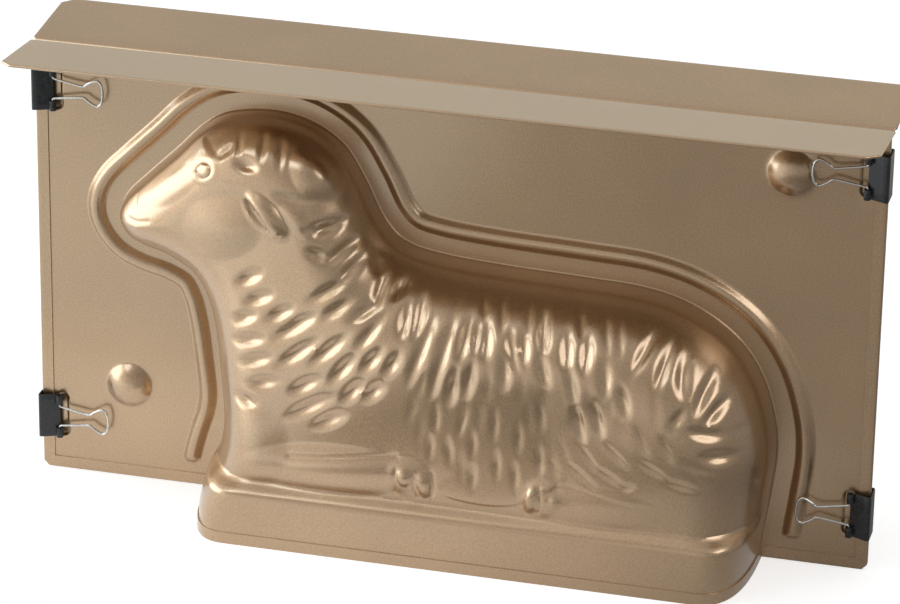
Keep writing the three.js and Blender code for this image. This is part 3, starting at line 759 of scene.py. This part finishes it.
def meshPiece(name, points, faces):
    data = bpy.data.meshes.new(name)
    data.from_pydata((np.asarray(points) * mm).tolist(), [], faces)
    return inScene(name, data)


# Smooth shading, apart from folds sharper than the angle
def shaded(piece, sharpAngle):
    piece.data.shade_smooth()
    piece.data.set_sharp_from_angle(angle=math.radians(sharpAngle))
    return piece


# Turns what the modifiers show into the piece's own mesh
def applied(piece):
    shown = piece.evaluated_get(bpy.context.evaluated_depsgraph_get())
    data = bpy.data.meshes.new_from_object(shown)
    piece.modifiers.clear()
    piece.data = data
    return piece


def makeHalves():
    places, triangles = sheetPlaces()
    distance = insideDistance(places)
    relief = lambRelief(places)
    rise = plateRise(places, distance)
    onLamb = smooth(distance, *lamb["detailFade"])
    details = woolRise(places, distance) + drawnRise(places) * onLamb
    details = details * smooth(places[:, 1], *lamb["detailFoot"])
    halves = {}
    for name, side in (("front_half", -1), ("back_half", 1)):
        lows, highs = plateFaces(places, triangles, side, relief, rise, details)
        columns, flangeLows, flangeHighs = flangeFaces(places, side)
        count, width = len(places), len(columns)
        joined = list(triangles)
        below = columns
        for row in range(len(flangeLows)):
            above = count + row * width + np.arange(width)
            for a, b, c, d in zip(below, below[1:], above[1:], above):
                joined += [(a, b, c), (a, c, d)]
            below = above
        lows = np.concatenate([lows, flangeLows.reshape(-1, 3)])
        highs = np.concatenate([highs, flangeHighs.reshape(-1, 3)])
        halves[name] = closedSheet(name + "_pressed", lows, highs, np.array(joined), side)
        print(f"{name}: {len(halves[name].data.polygons)} faces")
    return halves


clip = {
    "width": 17.5,
    "steel": 0.45,
    "spineDepth": 9.6,
    "spineGap": 0.3,
    "slideGap": 0.25,
    "jawInset": 7.2,
    "cornerRadius": 0.9,
    "curlRadius": 1.15,
    "curlSweep": math.radians(262),
    "curlLength": 3.85,
    "notchShare": 0.3,
    "edgeRound": 0.09,
}
jawLine = plates["partingGap"] / 2 + 2 * plates["sheet"] + clip["slideGap"] + clip["steel"] / 2
hingeDepth = jawLine + clip["curlRadius"]


def clipLine():
    radius = clip["cornerRadius"]
    depth = (clip["spineDepth"] - clip["steel"]) / 2 - radius
    spine = -clip["spineGap"] - clip["steel"] / 2
    half = [(spine, y) for y in np.linspace(0, -depth, 5)[:-1]]
    half += arc((spine + radius, -depth), -radius, np.linspace(0, math.pi / 2, 9))
    first = (clip["jawInset"], -hingeDepth + clip["curlRadius"])
    for share in (0.25, 0.5, 0.75):
        x, y = half[-1]
        half.append((x + (first[0] - x) * share, y + (first[1] - y) * share))
    curl = math.pi / 2 - clip["curlSweep"] * np.linspace(0, 1, 30)
    half += arc((clip["jawInset"], -hingeDepth), clip["curlRadius"], curl)
    return [(x, -y) for x, y in half[:0:-1]] + half


def makeClipBody(name):
    line = clipLine()
    half = clip["width"] / 2
    notch = half - clip["curlLength"]
    heights = [-half, -notch, -notch / 3, notch / 3, notch, half]
    points = [(x, y, z) for x, y in line for z in heights]
    faces, rows = [], len(heights)
    for index in range(len(line) - 1):
        x, y = (np.array(line[index]) + line[index + 1]) / 2
        curled = x > clip["jawInset"] or (
            x > clip["jawInset"] - clip["curlRadius"] - 0.1
            and abs(y) > hingeDepth - clip["notchShare"] * clip["curlRadius"])
        for row in range(rows - 1):
            if curled and 0 < row < rows - 2:
                continue
            first = index * rows + row
            faces.append((first, first + 1, first + rows + 1, first + rows))
    piece = meshPiece(name, points, faces)
    thick = piece.modifiers.new("steel", "SOLIDIFY")
    thick.thickness, thick.offset = clip["steel"] * mm, 0
    thick.use_even_offset = True
    bevel = piece.modifiers.new("edges", "BEVEL")
    bevel.width, bevel.segments, bevel.limit_method = clip["edgeRound"] * mm, 2, "ANGLE"
    bevel.angle_limit = math.radians(50)
    return shaded(applied(piece), 40)


wire = {
    "radius": 0.48,
    "reach": 19.86,
    "headHalf": 5.0,
    "neckHalf": 2.2,
    "rootHalf": 3.9,
    "footEnd": 7.9,
    "neckShare": 0.6,
    "lift": math.radians(3),
    "headShape": [(0.25, 0.66), (0.54, 0.92), (0.74, 1), (0.9, 0.8), (0.98, 0.4)],
}


def makeHandle(name):
    radius, root, foot = wire["radius"], wire["rootHalf"], wire["footEnd"]
    corner, neck = root + 2 * radius, wire["neckShare"] * wire["reach"]
    side = [
        (0, foot), (0, (corner + foot) / 2), (0, corner), (radius / 2, root + radius),
        (2 * radius, root), (neck / 2, (root + wire["neckHalf"]) / 2), (neck, wire["neckHalf"]),
    ]
    head = wire["reach"] - neck
    side += [(neck + head * reach, wire["headHalf"] * half) for reach, half in wire["headShape"]]
    line = splineLine(side + [(wire["reach"], 0)] + [(x, -z) for x, z in reversed(side)], 7)
    curve = bpy.data.curves.new(name, "CURVE")
    curve.dimensions, curve.bevel_depth, curve.bevel_resolution = "3D", radius * mm, 3
    curve.use_fill_caps = True
    spline = curve.splines.new("POLY")
    spline.points.add(len(line) - 1)
    for point, (x, z) in zip(spline.points, line):
        point.co = (x * mm, 0, z * mm, 1)
    bent = inScene(name + "_line", curve)
    bpy.context.view_layer.update()
    data = bpy.data.meshes.new_from_object(bent.evaluated_get(bpy.context.evaluated_depsgraph_get()))
    bpy.data.objects.remove(bent)
    return shaded(inScene(name, data), 50)


def newMaterial(name):
    material = bpy.data.materials.new(name)
    material.use_nodes = True
    return material, material.node_tree.nodes, material.node_tree.links


def setInputs(node, values):
    for name, value in values.items():
        node.inputs[name].default_value = value


def noise(nodes, links, scale, detail, coordinates):
    texture = nodes.new("ShaderNodeTexNoise")
    setInputs(texture, {"Scale": scale, "Detail": detail})
    links.new(coordinates.outputs["Object"], texture.inputs["Vector"])
    return texture.outputs["Fac"]


def colourRamp(nodes, links, source, stops):
    ramp = nodes.new("ShaderNodeValToRGB")
    while len(ramp.color_ramp.elements) < len(stops):
        ramp.color_ramp.elements.new(0.5)
    for element, (position, colour) in zip(ramp.color_ramp.elements, stops):
        element.position, element.color = position, (*colour, 1)
    links.new(source, ramp.inputs["Fac"])
    return ramp.outputs["Color"]


def ranged(nodes, links, source, span, values):
    share = nodes.new("ShaderNodeMapRange")
    setInputs(share, {"From Min": span[0], "From Max": span[1]})
    setInputs(share, {"To Min": values[0], "To Max": values[1]})
    links.new(source, share.inputs["Value"])
    return share


# Fine noise varies a finish's tone and roughness, and its grain stands up a little
def grainedMaterial(name, finish, tones):
    material, nodes, links = newMaterial(name)
    shader = nodes["Principled BSDF"]
    shader.inputs["Metallic"].default_value = finish["metallic"]
    where = nodes.new("ShaderNodeTexCoord")
    grain = shade = noise(nodes, links, finish["grainScale"], finish["grainDetail"], where)
    if "mottleScale" in finish:
        mixed = nodes.new("ShaderNodeMix")
        mixed.inputs["Factor"].default_value = finish["mottleShare"]
        links.new(grain, mixed.inputs["A"])
        mottle = noise(nodes, links, finish["mottleScale"], finish["mottleDetail"], where)
        links.new(mottle, mixed.inputs["B"])
        shade = mixed.outputs["Result"]
    stops = zip(finish["toneSpan"], (tones["deep"], tones["pale"]))
    links.new(colourRamp(nodes, links, shade, list(stops)), shader.inputs["Base Color"])
    rough = ranged(nodes, links, grain, (0.3, 0.7), finish["roughness"])
    links.new(rough.outputs["Result"], shader.inputs["Roughness"])
    if "grainHeight" in finish:
        bump = nodes.new("ShaderNodeBump")
        setInputs(bump, {"Strength": finish["grainStrength"], "Distance": finish["grainHeight"] * mm})
        links.new(grain, bump.inputs["Height"])
        links.new(bump.outputs["Normal"], shader.inputs["Normal"])
    return material


coating = {
    "front": {"pale": (0.475, 0.3, 0.15), "deep": (0.365, 0.228, 0.11)},
    # The back half's tones are the same coating painted a little darker: painted shade, as the rear
    # flange lies turned away from the light
    "back": {"pale": (0.45, 0.28, 0.136), "deep": (0.345, 0.21, 0.1)},
    "toneSpan": (0.36, 0.64),    # the noise's values at the deep and the pale tone
    "metallic": 0.9,
    "roughness": (0.29, 0.37),
    "lacquerIndex": 1.9,         # the clear lacquer mirrors lamps without the metal's colour
    "lacquerRoughness": 0.2,
    "grainScale": 1500,
    "grainDetail": 2,
    "grainHeight": 0.03,         # in millimetres
    "grainStrength": 0.5,
    "mottleScale": 22,
    "mottleDetail": 3,
    "mottleShare": 0.3,
}


def coatingMaterial(name, tones):
    material = grainedMaterial(name, coating, tones)
    shader = material.node_tree.nodes["Principled BSDF"]
    setInputs(shader, {"Coat Weight": 1, "Coat Roughness": coating["lacquerRoughness"],
                       "Coat IOR": coating["lacquerIndex"]})
    grain = shader.inputs["Normal"].links[0].from_socket
    material.node_tree.links.new(grain, shader.inputs["Coat Normal"])
    return material


enamel = {
    "pale": (0.026, 0.027, 0.029),
    "deep": (0.012, 0.013, 0.014),
    "toneSpan": (0.35, 0.7),
    "metallic": 0.1,
    "roughness": (0.24, 0.38),
    "grainScale": 900,
    "grainDetail": 3,
    "grainHeight": 0.01,
    "grainStrength": 0.4,
}
nickel = {
    "pale": (0.64, 0.625, 0.6),
    "deep": (0.5, 0.485, 0.46),
    "toneSpan": (0.3, 0.7),
    "metallic": 1,
    "roughness": (0.08, 0.16),
    "grainScale": 1300,
    "grainDetail": 2,
}


def finished(piece, material, body, node):
    piece.data.materials.clear()
    piece.data.materials.append(material)
    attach(piece, body)
    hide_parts(node)


shot = {
    "azimuth": math.radians(14.25),
    "elevation": math.radians(23.44),
    "roll": math.radians(0.93),
    "distance": 1660.4,
    "target": (-0.35, 0, 87.44),
    "lens": 179.9,
}


def addCamera():
    a, e, r = shot["azimuth"], shot["elevation"], shot["roll"]
    back = Vector((math.sin(a) * math.cos(e), -math.cos(a) * math.cos(e), math.sin(e)))
    across = Vector((math.cos(a), math.sin(a), 0))
    upward = back.cross(across)
    right = across * math.cos(r) + upward * math.sin(r)
    top = upward * math.cos(r) - across * math.sin(r)
    data = bpy.data.cameras.new("photo_view")
    data.lens, data.sensor_width = shot["lens"], 36
    data.clip_end = 20
    camera = inScene("photo_view", data)
    place = Vector(shot["target"]) * mm + back * shot["distance"] * mm
    turn = Matrix((right, top, back)).transposed().to_4x4()
    camera.matrix_world = Matrix.Translation(place) @ turn
    bpy.context.scene.camera = camera


lamps = {
    "key": {
        "place": (-0.85, -0.1, 0.34), "aim": (0, 0, 0.08), "size": (0.85, 0.62),
        "power": 4.6, "colour": (0.84, 0.95, 1),
    },
    "right": {
        "place": (0.66, -0.24, 0.68), "aim": (0, 0, 0.08), "size": (0.5, 0.4),
        "power": 1.6, "colour": (1, 1, 1),
    },
    "top": {
        "place": (-0.47, -0.43, 0.85), "aim": (-0.03, 0, 0.08), "size": (0.36, 0.3),
        "power": 0.95, "colour": (0.84, 0.95, 1),
    },
    "card": {                    # lies on the floor in front and lights the base from below
        "place": (-0.36, -0.31, 0.004), "aim": (-0.36, -0.31, 1), "size": (0.56, 0.4),
        "power": 0.42, "colour": (0.84, 0.96, 1),
    },
}
room = {
    "floorTone": 0.8,            # as the camera sees it
    "floorGlow": 0.53,
    # Painted light and shade on the floor, seen only in the mould's reflections: bright and glowing on
    # the left, dark on the right
    "mirroredTone": (0.8, 0.25),  # as the mould mirrors it, on the left and on the right
    "mirroredGlow": (0.5, 0.05),
    "mirroredReach": (-0.06, 0.22),  # x of the left and the right tone
    "floorFront": -0.11,         # the white sheet's sides
    "floorBack": 0.8,
    "floorLeft": -0.8,
    "floorRight": 0.26,
    "floorTongue": (0.12, 0.11, 0.11),  # it runs on in front on the right: widths and length
    "ambient": 0.5,              # light on surfaces that mirror nothing
    "sideTones": ((0, 1.4), (0.15, 1.35), (0.375, 0.85), (0.625, 0.58), (0.85, 0.5), (1, 0.4)),
    "heightTones": ((0, 0.38), (0.3, 0.42), (0.45, 0.95), (0.55, 1), (0.68, 0.84), (0.8, 0.7),
                    (0.95, 0.9)),
    "behindTones": ((0.7, 0.68, 0.59), (0.68, 0.65, 0.57)),  # low behind the mould, and high
    "behindRise": (0.25, 0.5),   # from the low tone to the high one
    "behindEdge": (0.55, 0.85),  # from the sides' tones to those behind
}


def addLamps():
    for name, lamp in lamps.items():
        data = bpy.data.lights.new(name, "AREA")
        data.shape, data.energy = "RECTANGLE", lamp["power"]
        data.size, data.size_y = lamp["size"]
        data.color = lamp["colour"]
        light = inScene(name, data)
        light.location = lamp["place"]
        aim = Vector(lamp["aim"]) - light.location
        light.rotation_euler = aim.to_track_quat("-Z", "Y").to_euler()
        light.visible_camera = False


def reckoned(nodes, links, operation, first, second):
    step = nodes.new("ShaderNodeMath")
    step.operation = operation
    links.new(first, step.inputs[0])
    links.new(second, step.inputs[1])
    return step.outputs["Value"]


def axes(nodes, links, space):
    where, split = nodes.new("ShaderNodeTexCoord"), nodes.new("ShaderNodeSeparateXYZ")
    links.new(where.outputs[space], split.inputs["Vector"])
    return split.outputs


# 1 for the named kinds of ray, 0 for all others
def anyRay(nodes, links, *kinds):
    rays = nodes.new("ShaderNodeLightPath")
    found = rays.outputs[kinds[0]]
    for kind in kinds[1:]:
        found = reckoned(nodes, links, "MAXIMUM", found, rays.outputs[kind])
    return found


def plainTone(nodes, colour):
    tone = nodes.new("ShaderNodeRGB")
    tone.outputs[0].default_value = (*colour, 1)
    return tone.outputs[0]


def eased(nodes, links, source, span, tones):
    share = ranged(nodes, links, source, span, tones)
    share.interpolation_type = "SMOOTHSTEP"
    return share.outputs["Result"]


# Tones over a direction's part along one axis, from -1 to 1
def toneRamp(nodes, links, source, tones):
    share = ranged(nodes, links, source, (-1, 1), (0, 1))
    stops = [(place, (tone,) * 3) for place, tone in tones]
    return colourRamp(nodes, links, share.outputs["Result"], stops)


def blended(nodes, links, factor, first, second):
    mix = nodes.new("ShaderNodeMix")
    mix.data_type = "RGBA"
    links.new(factor, mix.inputs[0])
    links.new(first, mix.inputs[6])
    links.new(second, mix.inputs[7])
    return mix.outputs[2]


# White to the camera. To the mirroring mould it shows painted light and shade: it glows on the left and
# is painted darker on the right
def addFloor():
    data = bpy.data.meshes.new("floor")
    left, right, front, back = (room["floor" + side] for side in ("Left", "Right", "Front", "Back"))
    wide, narrow, length = room["floorTongue"]
    tongue = [(right - wide, front, 0), (right - narrow, front - length, 0), (right, front - length, 0)]
    data.from_pydata([(left, front, 0), *tongue, (right, back, 0), (left, back, 0)], [], [range(6)])
    floor = inScene("floor", data)
    material, nodes, links = newMaterial("white_floor")
    shader = nodes["Principled BSDF"]
    setInputs(shader, {"Roughness": 0.9, "Specular IOR Level": 0, "Emission Color": (1, 1, 1, 1)})
    place = axes(nodes, links, "Object")
    glossy = anyRay(nodes, links, "Is Glossy Ray")
    shades = []
    for name in ("Tone", "Glow"):
        plain = plainTone(nodes, (room["floor" + name],) * 3)
        tones = room["mirrored" + name]
        mirrored = eased(nodes, links, place["X"], room["mirroredReach"], tones)
        shades.append(blended(nodes, links, glossy, plain, mirrored))
    links.new(shades[0], shader.inputs["Base Color"])
    direct = anyRay(nodes, links, "Is Camera Ray", "Is Glossy Ray", "Is Transmission Ray")
    links.new(reckoned(nodes, links, "MULTIPLY", direct, shades[1]), shader.inputs["Emission Strength"])
    data.materials.append(material)


# What metal mirrors: bright on the left, darker overhead and on the right, warm white behind
def addWorld():
    world = bpy.data.worlds.new("studio")
    bpy.context.scene.world = world
    world.use_nodes = True
    nodes, links = world.node_tree.nodes, world.node_tree.links
    towards = axes(nodes, links, "Generated")
    around = toneRamp(nodes, links, towards["X"], room["sideTones"])
    upward = toneRamp(nodes, links, towards["Z"], room["heightTones"])
    front = reckoned(nodes, links, "MULTIPLY", around, upward)
    high = eased(nodes, links, towards["Z"], room["behindRise"], (0, 1))
    behind = blended(nodes, links, high, *(plainTone(nodes, tone) for tone in room["behindTones"]))
    backward = eased(nodes, links, towards["Y"], room["behindEdge"], (0, 1))
    glossy = anyRay(nodes, links, "Is Glossy Ray")
    direct = anyRay(nodes, links, "Is Camera Ray", "Is Transmission Ray")
    tone = blended(nodes, links, backward, front, behind)
    tone = blended(nodes, links, glossy, plainTone(nodes, (room["ambient"],) * 3), tone)
    tone = blended(nodes, links, direct, tone, plainTone(nodes, (1, 1, 1)))
    links.new(tone, nodes["Background"].inputs["Color"])


bpy.context.scene.view_settings.view_transform = "Standard"
addCamera()
addLamps()
addFloor()
addWorld()
print("stage: camera, lamps, floor and world")

slots = {
    "front_half": ("front_coating", coatingMaterial("champagne_coating_front", coating["front"])),
    # the back half gets the darker copy, with its shade painted in
    "back_half": ("back_coating", coatingMaterial("champagne_coating_back_painted_shade", coating["back"])),
}
for name, half in makeHalves().items():
    slotName, material = slots[name]
    finished(half, material, "shells", name)
print("halves: pressed, hemmed and coated")

clipEnamel = grainedMaterial("black_enamel", enamel, enamel)
wireNickel = grainedMaterial("nickel_wire", nickel, nickel)
for sideName, side in clipSides.items():
    for levelName, height in clipHeights.items():
        clipName = f"{sideName}_{levelName}_clip"
        turn = Matrix.Rotation(0 if side < 0 else math.pi, 4, "Z")
        place = Matrix.Translation((side * plateEdge * mm, 0, height * mm)) @ turn
        body = makeClipBody(clipName + "_bent_strip")
        body.data.transform(place)
        finished(body, clipEnamel, clipName, clipName + "_body")
        for face in (-1, 1):
            facing = "front" if face * side > 0 else "rear"
            bentWire = makeHandle(f"{clipName}_{facing}_wire")
            hinge = Matrix.Translation((clip["jawInset"] * mm, face * hingeDepth * mm, 0))
            bentWire.data.transform(place @ hinge @ Matrix.Rotation(face * wire["lift"], 4, "Z"))
            finished(bentWire, wireNickel, f"{sideName}_{levelName}_{facing}_handle",
                     f"{clipName}_{facing}_handle")
print("clips: 4 strips and 8 wires")
